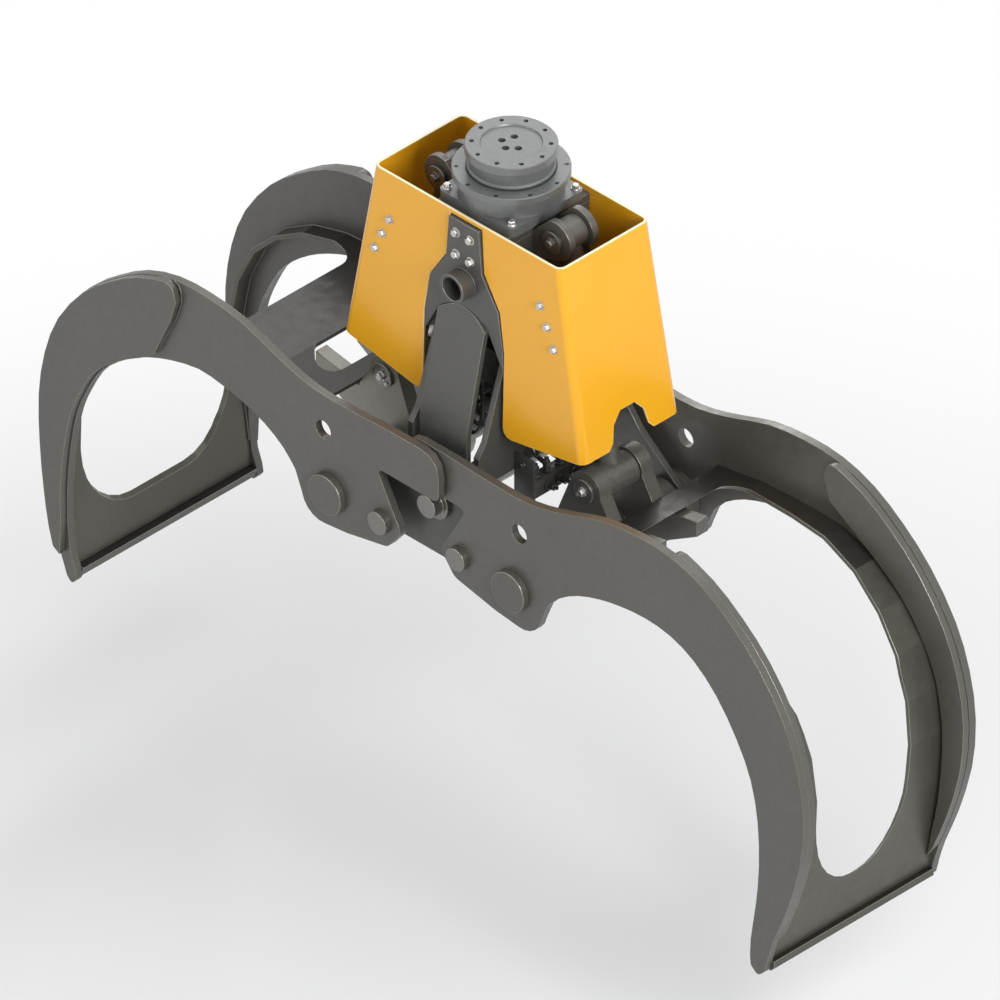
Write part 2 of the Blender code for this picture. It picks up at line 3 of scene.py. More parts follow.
import bmesh
import bpy
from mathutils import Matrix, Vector


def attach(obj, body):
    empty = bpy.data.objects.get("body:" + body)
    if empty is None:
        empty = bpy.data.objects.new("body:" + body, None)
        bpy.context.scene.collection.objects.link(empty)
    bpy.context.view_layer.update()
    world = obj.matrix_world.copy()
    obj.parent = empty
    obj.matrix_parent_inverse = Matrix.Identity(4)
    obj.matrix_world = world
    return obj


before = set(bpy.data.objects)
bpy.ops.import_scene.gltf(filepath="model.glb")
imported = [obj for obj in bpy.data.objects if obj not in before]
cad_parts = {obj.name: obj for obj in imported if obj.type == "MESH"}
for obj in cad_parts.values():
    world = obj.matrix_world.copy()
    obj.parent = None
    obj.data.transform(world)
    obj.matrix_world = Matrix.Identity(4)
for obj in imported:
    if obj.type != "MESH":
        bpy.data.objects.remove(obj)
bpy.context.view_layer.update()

# the part's own measures, in metres; heights in pairs (x, z) are above the jaws' pivots
GRID = 0.0028            # one step of the layout grid
PZ = 0.8307              # height of the jaws' pivots
PX = 0.3472              # their distance from the middle
UP = (0.2268, 0.9856)    # a cylinder's upper pin
LOW = (0.3976, 0.2464)   # its lower pin with the jaws open
scene = bpy.context.scene


# materials

def nodes_of(material):
    material.use_nodes = True
    tree = material.node_tree
    return tree, tree.nodes, tree.links


def noise(tree, size, detail):
    n = tree.nodes.new("ShaderNodeTexNoise")
    n.inputs["Scale"].default_value = size
    n.inputs["Detail"].default_value = detail
    n.inputs["Roughness"].default_value = 0.55
    at = tree.nodes.new("ShaderNodeTexCoord")
    tree.links.new(at.outputs["Object"], n.inputs["Vector"])
    return n.outputs["Fac"]


def ramp(tree, source, stops):
    """Colours by value; stops are (position, colour)."""
    r = tree.nodes.new("ShaderNodeValToRGB")
    while len(r.color_ramp.elements) < len(stops):
        r.color_ramp.elements.new(0.5)
    for e, (pos, color) in zip(r.color_ramp.elements, stops):
        e.position = pos
        e.color = (*color, 1)
    tree.links.new(source, r.inputs["Fac"])
    return r.outputs["Color"]


def mix(tree, factor, a, b):
    """Blends two colours, each a value or another node's output."""
    m = tree.nodes.new("ShaderNodeMix")
    m.data_type = "RGBA"
    if isinstance(factor, float):
        m.inputs["Factor"].default_value = factor
    else:
        tree.links.new(factor, m.inputs["Factor"])
    for socket, value in (("A", a), ("B", b)):
        target = [s for s in m.inputs if s.name == socket and s.type == "RGBA"][0]
        if isinstance(value, tuple):
            target.default_value = (*value, 1)
        else:
            tree.links.new(value, target)
    return [s for s in m.outputs if s.type == "RGBA"][0]


def scaled(color, k):
    return tuple(min(1.0, c * k) for c in color)


def finish_bump(tree, source, strength, distance):
    b = tree.nodes.new("ShaderNodeBump")
    b.inputs["Strength"].default_value = strength
    b.inputs["Distance"].default_value = distance
    tree.links.new(source, b.inputs["Height"])
    return b.outputs["Normal"]


def metal(name, color, metallic, rough, spread, patches, grain, coat=0.0, tint=None,
          speckle=0.0, fleck=0.35, painted_top_light=None, painted_top_light_from=(0.70, 0.93)):
    """Paint or bare steel: broad patches, fine grain, and a roughness that varies.

    spread is the roughness' variation, patches the colour's; tint is the colour of the lighter
    patches, speckle and fleck the share of bright spots and fine grain. The last two arguments
    paint light on the faces that look up on the piece itself: a colour, lighter for a painted
    highlight and darker for painted shade, and the levels of its normal between which it comes in.
    """
    material = bpy.data.materials.new(name)
    tree, nodes, links = nodes_of(material)
    shader = nodes["Principled BSDF"]
    wide = noise(tree, 3.5, 5)
    fine = noise(tree, 95, 3)
    base = ramp(tree, wide, [(0.30, scaled(color, 1 - patches)), (0.50, color),
                             (0.72, tint or scaled(color, 1 + patches))])
    detail = ramp(tree, fine, [(0.38, scaled(color, 0.88)), (0.62, scaled(color, 1.10))])
    base = mix(tree, fleck, base, detail)
    if speckle:
        spots = noise(tree, 420, 2)
        mask = ramp(tree, spots, [(0.66, (0, 0, 0)), (0.74, (speckle,) * 3)])
        base = mix(tree, mask, base, scaled(color, 1.9))
    # painted light: faces that look up take the given colour, a painted highlight where it is
    # lighter and painted shade where it is darker
    if painted_top_light:
        level = nodes.new("ShaderNodeSeparateXYZ")
        links.new(nodes.new("ShaderNodeTexCoord").outputs["Normal"], level.inputs["Vector"])
        painted_top_mask = ramp(tree, level.outputs["Z"],
                      [(painted_top_light_from[0], (0, 0, 0)), (painted_top_light_from[1], (1, 1, 1))])
        base = mix(tree, painted_top_mask, base, painted_top_light)
    links.new(base, shader.inputs["Base Color"])
    shader.inputs["Metallic"].default_value = metallic
    shader.inputs["Coat Weight"].default_value = coat
    shader.inputs["Coat Roughness"].default_value = 0.12
    sheen = nodes.new("ShaderNodeMapRange")
    sheen.inputs["From Min"].default_value = 0.3
    sheen.inputs["From Max"].default_value = 0.7
    sheen.inputs["To Min"].default_value = rough - spread
    sheen.inputs["To Max"].default_value = rough + spread
    links.new(noise(tree, 28, 5), sheen.inputs["Value"])
    links.new(sheen.outputs["Result"], shader.inputs["Roughness"])
    links.new(finish_bump(tree, fine, grain, 0.0012), shader.inputs["Normal"])
    return material


SLEEVE_FROM = 0.4745     # where a rod's sleeve starts, along it from its own origin
PLATE = (0.110, 0.104, 0.092)


def rod_finish():
    """Chrome on the sliding length, dark paint on the sleeve and eye below it."""
    material = metal("rod_chrome", (0.72, 0.72, 0.72), 1.0, 0.12, 0.03, 0.03, 0.02)
    tree, nodes, links = nodes_of(material)
    shader = nodes["Principled BSDF"]
    place = nodes.new("ShaderNodeTexCoord")
    fold = nodes.new("ShaderNodeVectorMath")   # one direction for the left and the right rod
    fold.operation = "ABSOLUTE"
    links.new(place.outputs["Object"], fold.inputs[0])
    along = nodes.new("ShaderNodeVectorMath")
    along.operation = "DOT_PRODUCT"
    links.new(fold.outputs["Vector"], along.inputs[0])
    run = Vector((LOW[0] - UP[0], 0, LOW[1] - UP[1])).normalized()
    along.inputs[1].default_value = (run.x, 0, -run.z)
    past = nodes.new("ShaderNodeMath")
    past.operation = "GREATER_THAN"
    past.inputs[1].default_value = SLEEVE_FROM
    links.new(along.outputs["Value"], past.inputs[0])
    coat = nodes.new("ShaderNodeBsdfPrincipled")
    links.new(ramp(tree, noise(tree, 60, 4),
                   [(0.3, scaled(PLATE, 0.85)), (0.7, scaled(PLATE, 1.2))]),
              coat.inputs["Base Color"])
    coat.inputs["Metallic"].default_value = 0.3
    coat.inputs["Roughness"].default_value = 0.36
    both = nodes.new("ShaderNodeMixShader")
    links.new(past.outputs["Value"], both.inputs["Fac"])
    links.new(shader.outputs["BSDF"], both.inputs[1])
    links.new(coat.outputs["BSDF"], both.inputs[2])
    links.new(both.outputs["Shader"], nodes["Material Output"].inputs["Surface"])
    return material


M = {
    "plate": metal("dark_plate", PLATE, 0.30, 0.40, 0.08, 0.05, 0.10),
    # the back plates' faces that look up are painted near black: painted shade
    "inner": metal("back_plate_steel", (0.088, 0.083, 0.069), 0.35, 0.38, 0.08, 0.10, 0.16,
                   tint=(0.112, 0.105, 0.086), speckle=0.4, painted_top_light=(0.030, 0.028, 0.025),
                   painted_top_light_from=(0.80, 0.97)),
    # rounded edges of the steel parts: lighter, more metallic steel, partly wear and partly a
    # painted highlight
    "edge": metal("plate_edge_wear_and_highlight", (0.235, 0.226, 0.205), 0.75, 0.30, 0.08, 0.10, 0.20),
    "frame": metal("frame_paint", (0.090, 0.088, 0.080), 0.25, 0.42, 0.08, 0.06, 0.10),
    "rotor": metal("rotator_paint", (0.178, 0.188, 0.184), 0.35, 0.36, 0.07, 0.06, 0.10),
    # the shroud's faces that look up, its rims above all, are painted near white: a painted
    # highlight
    "yellow": metal("yellow_paint", (0.90, 0.430, 0.012), 0.0, 0.30, 0.02, 0.02, 0.02, coat=0.18,
                    fleck=0.06, painted_top_light=(1.0, 0.90, 0.62),
                    tint=(0.91, 0.44, 0.014)),
    # the shroud's rounded edges are painted near white: a painted highlight
    "yellow_edge_painted_highlight": metal("yellow_edge_painted_highlight", (1.0, 0.82, 0.46), 0.0, 0.22, 0.03, 0.02, 0.02, coat=0.6,
                         fleck=0.05),
    "steel": metal("pin_steel", (0.20, 0.195, 0.180), 0.75, 0.28, 0.07, 0.08, 0.08),
    "zinc": metal("bolt_zinc", (0.52, 0.51, 0.49), 0.85, 0.30, 0.06, 0.08, 0.08),
    "chrome": rod_finish(),
    # the left jaw's lugs are a lighter grey than the same lugs on the right: a painted reflection
    "lug": metal("lug_painted_reflection_grey", (0.300, 0.290, 0.250), 0.30, 0.40, 0.08, 0.06, 0.14, speckle=0.3),
    "fitting": metal("fitting_steel", (0.16, 0.16, 0.155), 0.80, 0.27, 0.06, 0.08, 0.08),
    "weld": metal("weld_bead", (0.115, 0.110, 0.100), 0.55, 0.38, 0.10, 0.10, 0.45),
    "rubber": metal("seal_rubber", (0.020, 0.020, 0.021), 0.0, 0.60, 0.08, 0.08, 0.10),
}


# the CAD nodes: materials and eased edges

def shading_tree(limit_deg):
    """Smooth shading, with a sharp line where two faces meet at more than the limit."""
    tree = bpy.data.node_groups.new("ease_edges", "GeometryNodeTree")
    tree.interface.new_socket("Geometry", in_out="INPUT", socket_type="NodeSocketGeometry")
    tree.interface.new_socket("Geometry", in_out="OUTPUT", socket_type="NodeSocketGeometry")
    start = tree.nodes.new("NodeGroupInput")
    end = tree.nodes.new("NodeGroupOutput")
    drop = tree.nodes.new("GeometryNodeRemoveAttribute")
    drop.inputs["Name"].default_value = "custom_normal"
    join = tree.nodes.new("GeometryNodeMergeByDistance")
    join.inputs["Distance"].default_value = 0.00002
    smooth = tree.nodes.new("GeometryNodeSetShadeSmooth")
    smooth.domain = "FACE"
    smooth.inputs["Shade Smooth"].default_value = True
    sharp = tree.nodes.new("GeometryNodeSetShadeSmooth")
    sharp.domain = "EDGE"
    sharp.inputs["Shade Smooth"].default_value = False
    angle = tree.nodes.new("GeometryNodeInputMeshEdgeAngle")
    over = tree.nodes.new("FunctionNodeCompare")
    over.data_type = "FLOAT"
    over.operation = "GREATER_THAN"
    over.inputs["B"].default_value = math.radians(limit_deg)
    link = tree.links.new
    link(start.outputs[0], drop.inputs["Geometry"])
    link(drop.outputs["Geometry"], join.inputs["Geometry"])
    link(join.outputs["Geometry"], smooth.inputs["Geometry"])
    link(smooth.outputs["Geometry"], sharp.inputs["Geometry"])
    link(angle.outputs["Unsigned Angle"], over.inputs["A"])
    link(over.outputs["Result"], sharp.inputs["Selection"])
    link(sharp.outputs["Geometry"], end.inputs[0])
    return tree


EDGE_ANGLE = 32
EASE = shading_tree(EDGE_ANGLE)
FACETS = shading_tree(4)      # a bent plate keeps a line at each bend


def dress(node, main, edge, width=0.0014, shading=EASE):
    """Gives a node its material, and its edges a small round with a material of its own."""
    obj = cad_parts[node]
    obj.data.materials.clear()
    obj.data.materials.append(M[main])
    obj.data.materials.append(M[edge])
    ease = obj.modifiers.new("ease", "NODES")
    ease.node_group = shading
    flat = obj.modifiers.new("flat", "DECIMATE")
    flat.decimate_type = "DISSOLVE"
    flat.angle_limit = math.radians(1.0)
    flat.delimit = {"SHARP"}
    if width:
        bevel = obj.modifiers.new("edges", "BEVEL")
        bevel.width = width
        bevel.segments = 2
        bevel.limit_method = "ANGLE"
        bevel.angle_limit = math.radians(EDGE_ANGLE)
        bevel.use_clamp_overlap = True
        bevel.material = 1
        bevel.harden_normals = False
        bevel.miter_outer = "MITER_ARC"
        normal = obj.modifiers.new("normal", "WEIGHTED_NORMAL")
        normal.keep_sharp = True


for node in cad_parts:
    if node == "shroud":
        dress(node, "yellow", "yellow_edge_painted_highlight", 0.0016)
    elif "rotator" in node:
        dress(node, "rotor", "rotor", 0.0010)
    elif node.endswith(("_back_plate", "edge_bar")):
        dress(node, "inner", "edge", shading=FACETS)
    elif node.endswith("_rod"):
        dress(node, "chrome", "chrome", 0)
    elif "pin" in node or "shaft" in node:
        dress(node, "steel", "edge", 0.0016)
    elif node.startswith("pivot_cap"):
        dress(node, "plate", "edge", 0.0008)
    elif node.endswith("_lug"):
        # the left jaw's lugs take the lighter grey of the painted reflection
        dress(node, "lug" if node.startswith("left") else "plate", "edge", 0.0016)
    elif node.startswith("frame"):
        dress(node, "frame", "edge", 0.0012)
    elif "gland" in node:
        dress(node, "fitting", "edge", 0.0010)
    else:
        dress(node, "plate", "edge")


# small pieces

def frame_of(axis):
    """Two directions square to the axis, and the axis."""
    z = Vector(axis).normalized()
    x = Vector((0, 0, 1)).cross(z) if abs(z.z) < 0.9 else Vector((1, 0, 0))
    x.normalize()
    return x, z.cross(x), z


def revolve(bm, profile, at, axis, sides=24, turn=0.0):
    """A turned shape; profile holds (along, radius), from the axis back to the axis."""
    x, y, z = frame_of(axis)
    at = Vector(at)
    loops = []
    for along, radius in profile:
        mid = at + z * along
        if radius == 0:
            loops.append([bm.verts.new(mid)])
        else:
            loops.append([bm.verts.new(mid + (x * math.cos(t) + y * math.sin(t)) * radius)
                          for t in (2 * math.pi * k / sides + turn for k in range(sides))])
    for a, b in zip(loops, loops[1:]):
        for k in range(sides):
            m = (k + 1) % sides
            if len(a) == 1 and len(b) == 1:
                continue
            if len(a) == 1:
                bm.faces.new((a[0], b[k], b[m]))
            elif len(b) == 1:
                bm.faces.new((a[k], a[m], b[0]))
            else:
                bm.faces.new((a[k], a[m], b[m], b[k]))


def hex_head(bm, at, axis, flats, height, washer=0.0, thick=0.0025, turn=0.3):
    """A bolt's head, on a washer of the given radius if there is one."""
    at = Vector(at)
    z = Vector(axis).normalized()
    if washer:
        revolve(bm, [(0, 0), (0, washer), (thick * 0.7, washer), (thick, washer * 0.95),
                     (thick, 0)], at, z, 24)
        at = at + z * thick
    r = flats / math.sqrt(3)
    revolve(bm, [(0, 0), (0, r), (height * 0.82, r), (height, r * 0.88), (height, 0)],
            at, z, 6, turn)
    revolve(bm, [(height - 0.0002, 0), (height - 0.0002, r * 0.80), (height + 0.0004, r * 0.74),
                 (height + 0.0004, 0)], at, z, 18)


def ring(bm, at, axis, outer, inner, length, ease=0.001, sides=36):
    """A closed washer or collar."""
    x, y, z = frame_of(axis)
    at = Vector(at)
    section = [(0, inner), (0, outer - ease), (ease, outer), (length - ease, outer),
               (length, outer - ease), (length, inner)]
    loops = []
    for along, radius in section:
        loops.append([bm.verts.new(at + z * along + (x * math.cos(t) + y * math.sin(t)) * radius)
                      for t in (2 * math.pi * k / sides for k in range(sides))])
    n = len(loops)
    for i in range(n):
        a, b = loops[i], loops[(i + 1) % n]
        for k in range(sides):
            m = (k + 1) % sides
            bm.faces.new((a[k], a[m], b[m], b[k]))


def sweep(bm, points, radius, sides):
    """A closed round section along a line of points; radius is a size or a rule by point."""
    points = [Vector(p) for p in points]
    loops = []
    side = None
    for k, p in enumerate(points):
        before = points[max(k - 1, 0)]
        after = points[min(k + 1, len(points) - 1)]
        z = (after - before).normalized()
        if side is None:
            side = z.orthogonal().normalized()
        side = (side - z * side.dot(z)).normalized()
        up = z.cross(side)
        r = radius(k) if callable(radius) else radius
        loops.append([bm.verts.new(p + (side * math.cos(t) + up * math.sin(t)) * r)
                      for t in (2 * math.pi * j / sides for j in range(sides))])
    for a, b in zip(loops, loops[1:]):
        for j in range(sides):
            m = (j + 1) % sides
            bm.faces.new((a[j], a[m], b[m], b[j]))
    bm.faces.new(list(reversed(loops[0])))
    bm.faces.new(loops[-1])


def curved(points, steps):
    """Smooth line through the points, with this many steps from each to the next."""
    pts = [Vector(p) for p in points]
    pts = [pts[0]] + pts + [pts[-1]]
    out = []
    for k in range(1, len(pts) - 2):
        a, b, c, d = pts[k - 1:k + 3]
        for s in range(steps):
            t = s / steps
            out.append(0.5 * ((2 * b) + (c - a) * t + (2 * a - 5 * b + 4 * c - d) * t * t
                              + (3 * b - a - 3 * c + d) * t ** 3))
    out.append(pts[-1])
    return out


def piece(name, bm, material, body, smooth=38):
    """Makes the finished mesh an object of the scene that rides on a body."""
    bmesh.ops.recalc_face_normals(bm, faces=bm.faces)
    for e in bm.edges:
        if len(e.link_faces) == 2:
            e.smooth = e.calc_face_angle(0) < math.radians(smooth)
    for f in bm.faces:
        f.smooth = True
    mesh = bpy.data.meshes.new(name)
    bm.to_mesh(mesh)
    bm.free()
    obj = bpy.data.objects.new(name, mesh)
    scene.collection.objects.link(obj)
    mesh.materials.append(M[material])
    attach(obj, body)


def g(x, z):
    """From the layout grid to metres."""
    return x * GRID, z * GRID + PZ


# shroud and tab bolts: each of the shroud's two rows, and the tab's four
SHROUD_TOP, SHROUD_FOOT = 1.014, 0.406           # heights over the pivots
SHROUD_HALF_TOP, SHROUD_HALF_FOOT = 0.178, 0.192  # half its depth there
TAB_FACE = 0.188
lean = (SHROUD_HALF_FOOT - SHROUD_HALF_TOP) / (SHROUD_TOP - SHROUD_FOOT)
for face, sign in (("front", -1), ("rear", 1)):
    bm = bmesh.new()
    out = Vector((0, sign, lean)).normalized()
    for u, v in ((106, 308), (116, 287), (126, 265)):
        for s in (-1, 1):
            x, z = g(s * u, v)
            y = SHROUD_HALF_TOP + (SHROUD_TOP - v * GRID) * lean
            hex_head(bm, (x, sign * y, z), out, 0.019, 0.0085, 0.0145, 0.0028, 0.2 * u)
    for u, v in ((10, 341), (10, 315)):
        for s in (-1, 1):
            x, z = g(s * u, v)
            hex_head(bm, (x, sign * TAB_FACE, z), (0, sign, 0), 0.021, 0.011, 0.015, 0.0028,
                     0.1 * v * s)
    piece(f"shroud_bolts_{face}", bm, "zinc", "frame")

# rotator: socket screws in the housing's rim, and the wiper under the flange
HOUSING_TOP = PZ + 1.103
SCREWS, SCREW_CIRCLE = 10, 0.154
bm = bmesh.new()
for k in range(SCREWS):
    t = 2 * math.pi * (k + 0.3) / SCREWS
    at = (SCREW_CIRCLE * math.cos(t), SCREW_CIRCLE * math.sin(t), HOUSING_TOP - 0.0105)
    revolve(bm, [(0, 0), (0, 0.0062), (0.0080, 0.0062), (0.0092, 0.0052), (0.0092, 0.0032),
                 (0.0040, 0.0030), (0.0040, 0)], at, (0, 0, 1), 18)
piece("rotator_housing_screws", bm, "fitting", "frame")
bm = bmesh.new()
ring(bm, (0, 0, HOUSING_TOP + 0.0004), (0, 0, 1), 0.1285, 0.1262, 0.0045, 0.0008, 64)
piece("rotator_wiper_ring", bm, "rubber", "frame")

# cylinders: pin retainers, seals, ports, straps
PIN_END = 0.0662         # an upper pin's end, across
LUG_FACE = 0.117         # the outer face of a jaw's lug, across
GLAND_END = 0.4512       # along the cylinder from its upper pin
PORTS = (0.130, 0.385)
STRAPS = (0.19, 0.31)
for side, s in (("left", -1), ("right", 1)):
    hi = Vector((s * UP[0], 0, UP[1] + PZ))
    lo = Vector((s * LOW[0], 0, LOW[1] + PZ))
    run = (lo - hi).normalized()
    across = Vector((0, -1, 0))
    outward = run.cross(across).normalized()
    if outward.x * s < 0:
        outward = -outward
    bm = bmesh.new()
    for sign in (-1, 1):
        y = sign * PIN_END
        revolve(bm, [(0, 0), (0, 0.034), (0.004, 0.035), (0.0055, 0.0335), (0.0055, 0)],
                (hi.x, y, hi.z), (0, sign, 0), 30)
        hex_head(bm, (hi.x, y + sign * 0.0055, hi.z), (0, sign, 0), 0.022, 0.010, 0.016)
    piece(f"{side}_upper_pin_retainers", bm, "steel", "frame")
    bm = bmesh.new()
    for sign in (-1, 1):
        y = sign * LUG_FACE
        hex_head(bm, (lo.x, y, lo.z), (0, sign, 0), 0.020, 0.010, 0.015)
        hex_head(bm, (lo.x - s * 0.020, y, lo.z - 0.016), (0, sign, 0), 0.010, 0.005)
    piece(f"{side}_lug_pin_bolts", bm, "zinc", f"{side}_jaw")
    bm = bmesh.new()
    ring(bm, hi + run * GLAND_END, run, 0.0285, 0.0216, 0.004, 0.0010)
    piece(f"{side}_rod_wiper", bm, "rubber", f"{side}_barrel")
    bm = bmesh.new()
    for k in range(6):
        t = 2 * math.pi * (k + 0.5) / 6
        off = (across * math.cos(t) + outward * math.sin(t)) * 0.0335
        revolve(bm, [(0, 0), (0, 0.0034), (0.0030, 0.0034), (0.0034, 0.0030), (0.0034, 0)],
                hi + run * GLAND_END + off, run, 12)
    piece(f"{side}_gland_screws", bm, "zinc", f"{side}_barrel")
    for end, sign in (("front", -1), ("rear", 1)):
        bm = bmesh.new()
        face = Vector((0, sign, 0))
        for along in PORTS:
            base = hi + run * along + face * 0.0375
            revolve(bm, [(0, 0), (0, 0.016), (0.009, 0.015), (0.011, 0.014), (0.011, 0)],
                    base, face, 24)
            hex_head(bm, base + face * 0.011, face, 0.022, 0.008)
        if end == "front":   # a rigid pipe from the lower port up past the upper one
            a = hi + run * PORTS[1] + face * 0.058
            b = hi + run * PORTS[0] + face * 0.058
            line = curved([a - face * 0.004, a + face * 0.004, a - run * 0.016 + face * 0.009,
                           a - run * 0.05 + face * 0.009, b + run * 0.12 + face * 0.009,
                           b + run * 0.075 + outward * 0.018, b + run * 0.02 + outward * 0.022], 5)
            sweep(bm, line, 0.0055, 10)
            hex_head(bm, line[-1], -run, 0.017, 0.012)
        piece(f"{side}_barrel_ports_{end}", bm, "fitting", f"{side}_barrel")
    bm = bmesh.new()
    for along in STRAPS:
        ring(bm, hi + run * along, run, 0.0425, 0.0402, 0.012, 0.0006, 40)
    piece(f"{side}_barrel_straps", bm, "zinc", f"{side}_barrel")


# weld beads

def bead(bm, points, radius):
    """A rippled round along a seam."""
    pts = [Vector(p) for p in points]
    line = [pts[0]]
    for a, b in zip(pts, pts[1:]):
        steps = max(1, int((b - a).length / 0.006))
        line += [a.lerp(b, (k + 1) / steps) for k in range(steps)]
    sweep(bm, line, lambda k: radius * (1.0 if k % 2 else 0.86), 8)


def circle(at, radius, y, steps=56):
    """Points round (x, z) in the plane of a side plate."""
    return [(at[0] + radius * math.cos(t), y, at[1] + radius * math.sin(t))
            for t in (2 * math.pi * k / steps for k in range(steps + 1))]


# the back plates' middle lines, on the layout grid
BACK_LEFT = [(180, 60), (243, 71), (305, 74), (355, 72), (402, 59), (442, 35), (474, 3), (497, -43),
             (508, -95), (510, -150), (507, -210), (501, -250)]
BACK_RIGHT = [(180, 60), (243, 71), (305, 74), (352, 73), (400, 58), (440, 30), (470, -5),
              (488, -50), (494, -100), (490, -160), (483, -215), (478, -250)]


def beside(path, shift):
    """The path in metres, moved square to itself."""
    out = []
    for k, p in enumerate(path):
        a = Vector(path[max(k - 1, 0)])
        b = Vector(path[min(k + 1, len(path) - 1)])
        n = Vector((-(b - a).y, (b - a).x)).normalized()
        q = Vector(p) * GRID + n * shift
        out.append((q.x, q.y + PZ))
    return out


TINE_EDGE = [(366, 54), (341, 104), (333, 127), (333.5, 140), (337.5, 148), (344, 149.5)]
WIDE_FACE = 0.3735                      # outside the left jaw's side plates
LUG_SIDES = (0.0590, 0.1070)            # inner and outer side of a lug, across
PLATE_HALF = 0.0088                     # from a back plate's middle to its skin

# each jaw: its inner face across, and its back plate's path
for side, s, path, inner in (("left", -1, BACK_LEFT, 0.347), ("right", 1, BACK_RIGHT, 0.317)):
    for end, sign in (("front", -1), ("rear", 1)):
        bm = bmesh.new()
        for y in LUG_SIDES:
            bead(bm, circle((s * PX, PZ), 0.0765, sign * y), 0.0045)
        bead(bm, circle((s * PX, PZ), 0.0760, sign * (inner - 0.0015)), 0.0030)
        seam = sign * (inner - 0.0022)
        under = [(s * x, seam, z) for x, z in beside(path, -PLATE_HALF)]
        bead(bm, under[1:], 0.0042)
        if side == "left":
            over = [(s * x, seam, z) for x, z in beside(path, PLATE_HALF)]
            bead(bm, over[2:-1], 0.0042)
            edge = [g(x, z) for x, z in TINE_EDGE]
            bead(bm, [(-x, sign * WIDE_FACE, z) for x, z in edge], 0.0040)
        piece(f"{side}_jaw_{end}_welds", bm, "weld", f"{side}_jaw", 60)

# the frame: round the cross tube, at each leg's foot, and up the webs
CROSS_TUBE_UP = 0.798
LEG_FOOT = 88 * GRID
for end, sign in (("front", -1), ("rear", 1)):
    bm = bmesh.new()
    bead(bm, circle((0, PZ + CROSS_TUBE_UP), 0.0470, sign * 0.1893), 0.0030)
    z = LEG_FOOT + PZ + 0.0015
    bead(bm, [(-0.0924, sign * 0.2725, z), (0.0924, sign * 0.2725, z)], 0.0045)
    for x in (-0.0928, 0.0928):
        bead(bm, [(x, sign * 0.2682, PZ + 0.203), (x, sign * 0.2682, PZ + 0.243)], 0.0035)
    for x in (-0.1412, 0.1412, -0.1188, 0.1188):
        bead(bm, [(x, sign * 0.1665, PZ + 0.58), (x, sign * 0.1665, PZ + 0.80)], 0.0035)
    piece(f"frame_{end}_welds", bm, "weld", "frame", 60)


# bolts of the rotator's foot
FOOT_TOP = PZ + 1.0256
bm = bmesh.new()
for x in (-0.128, 0.128):
    for y in (-0.125, 0.125):
        hex_head(bm, (x, y, FOOT_TOP), (0, 0, 1), 0.019, 0.011, 0.0135, 0.003, x + y)
piece("rotator_foot_bolts", bm, "zinc", "frame")


# hydraulics: fittings on the valve block, and the lower manifolds

def fitting(bm, at, axis, size):
    """A threaded fitting with its two hexagons and a plug."""
    at = Vector(at)
    z = Vector(axis).normalized()
    hex_head(bm, at, z, size * 2.4, size * 0.9)
    revolve(bm, [(0, 0), (0, size * 0.8), (size * 0.9, size * 0.8), (size * 0.9, 0)],
            at + z * size * 0.9, z, 20)
    hex_head(bm, at + z * size * 1.8, z, size * 2.1, size * 1.5)
    revolve(bm, [(0, 0), (0, size * 0.72), (size * 1.1, size * 0.66), (size * 1.2, 0)],
            at + z * size * 3.3, z, 20)


BLOCK_LOW, BLOCK_HIGH = PZ + 0.3997, PZ + 0.5203
bm = bmesh.new()
for x in (-0.05, 0.05):
    for y in (-0.04, 0.04):
        fitting(bm, (x, y, BLOCK_HIGH), (0, 0, 1), 0.013)
for y in (-0.045, 0.0, 0.045):
    fitting(bm, (0.07, y, BLOCK_LOW), (0, 0, -1), 0.011)
    fitting(bm, (-0.07, y, BLOCK_LOW), (0, 0, -1), 0.011)
piece("valve_block_fittings", bm, "fitting", "frame")


def slab(bm, low, high):
    """A box with eased edges between two corners."""
    part = bmesh.new()
    bmesh.ops.create_cube(part, size=1.0)
    for v in part.verts:
        v.co = Vector([(a + b) / 2 + c * (b - a) for a, b, c in zip(low, high, v.co)])
    bmesh.ops.bevel(part, geom=list(part.edges), offset=0.0015, segments=2, affect="EDGES",
                    profile=0.5)
    mesh = bpy.data.meshes.new("slab")
    part.to_mesh(mesh)
    part.free()
    bm.from_mesh(mesh)
    bpy.data.meshes.remove(mesh)


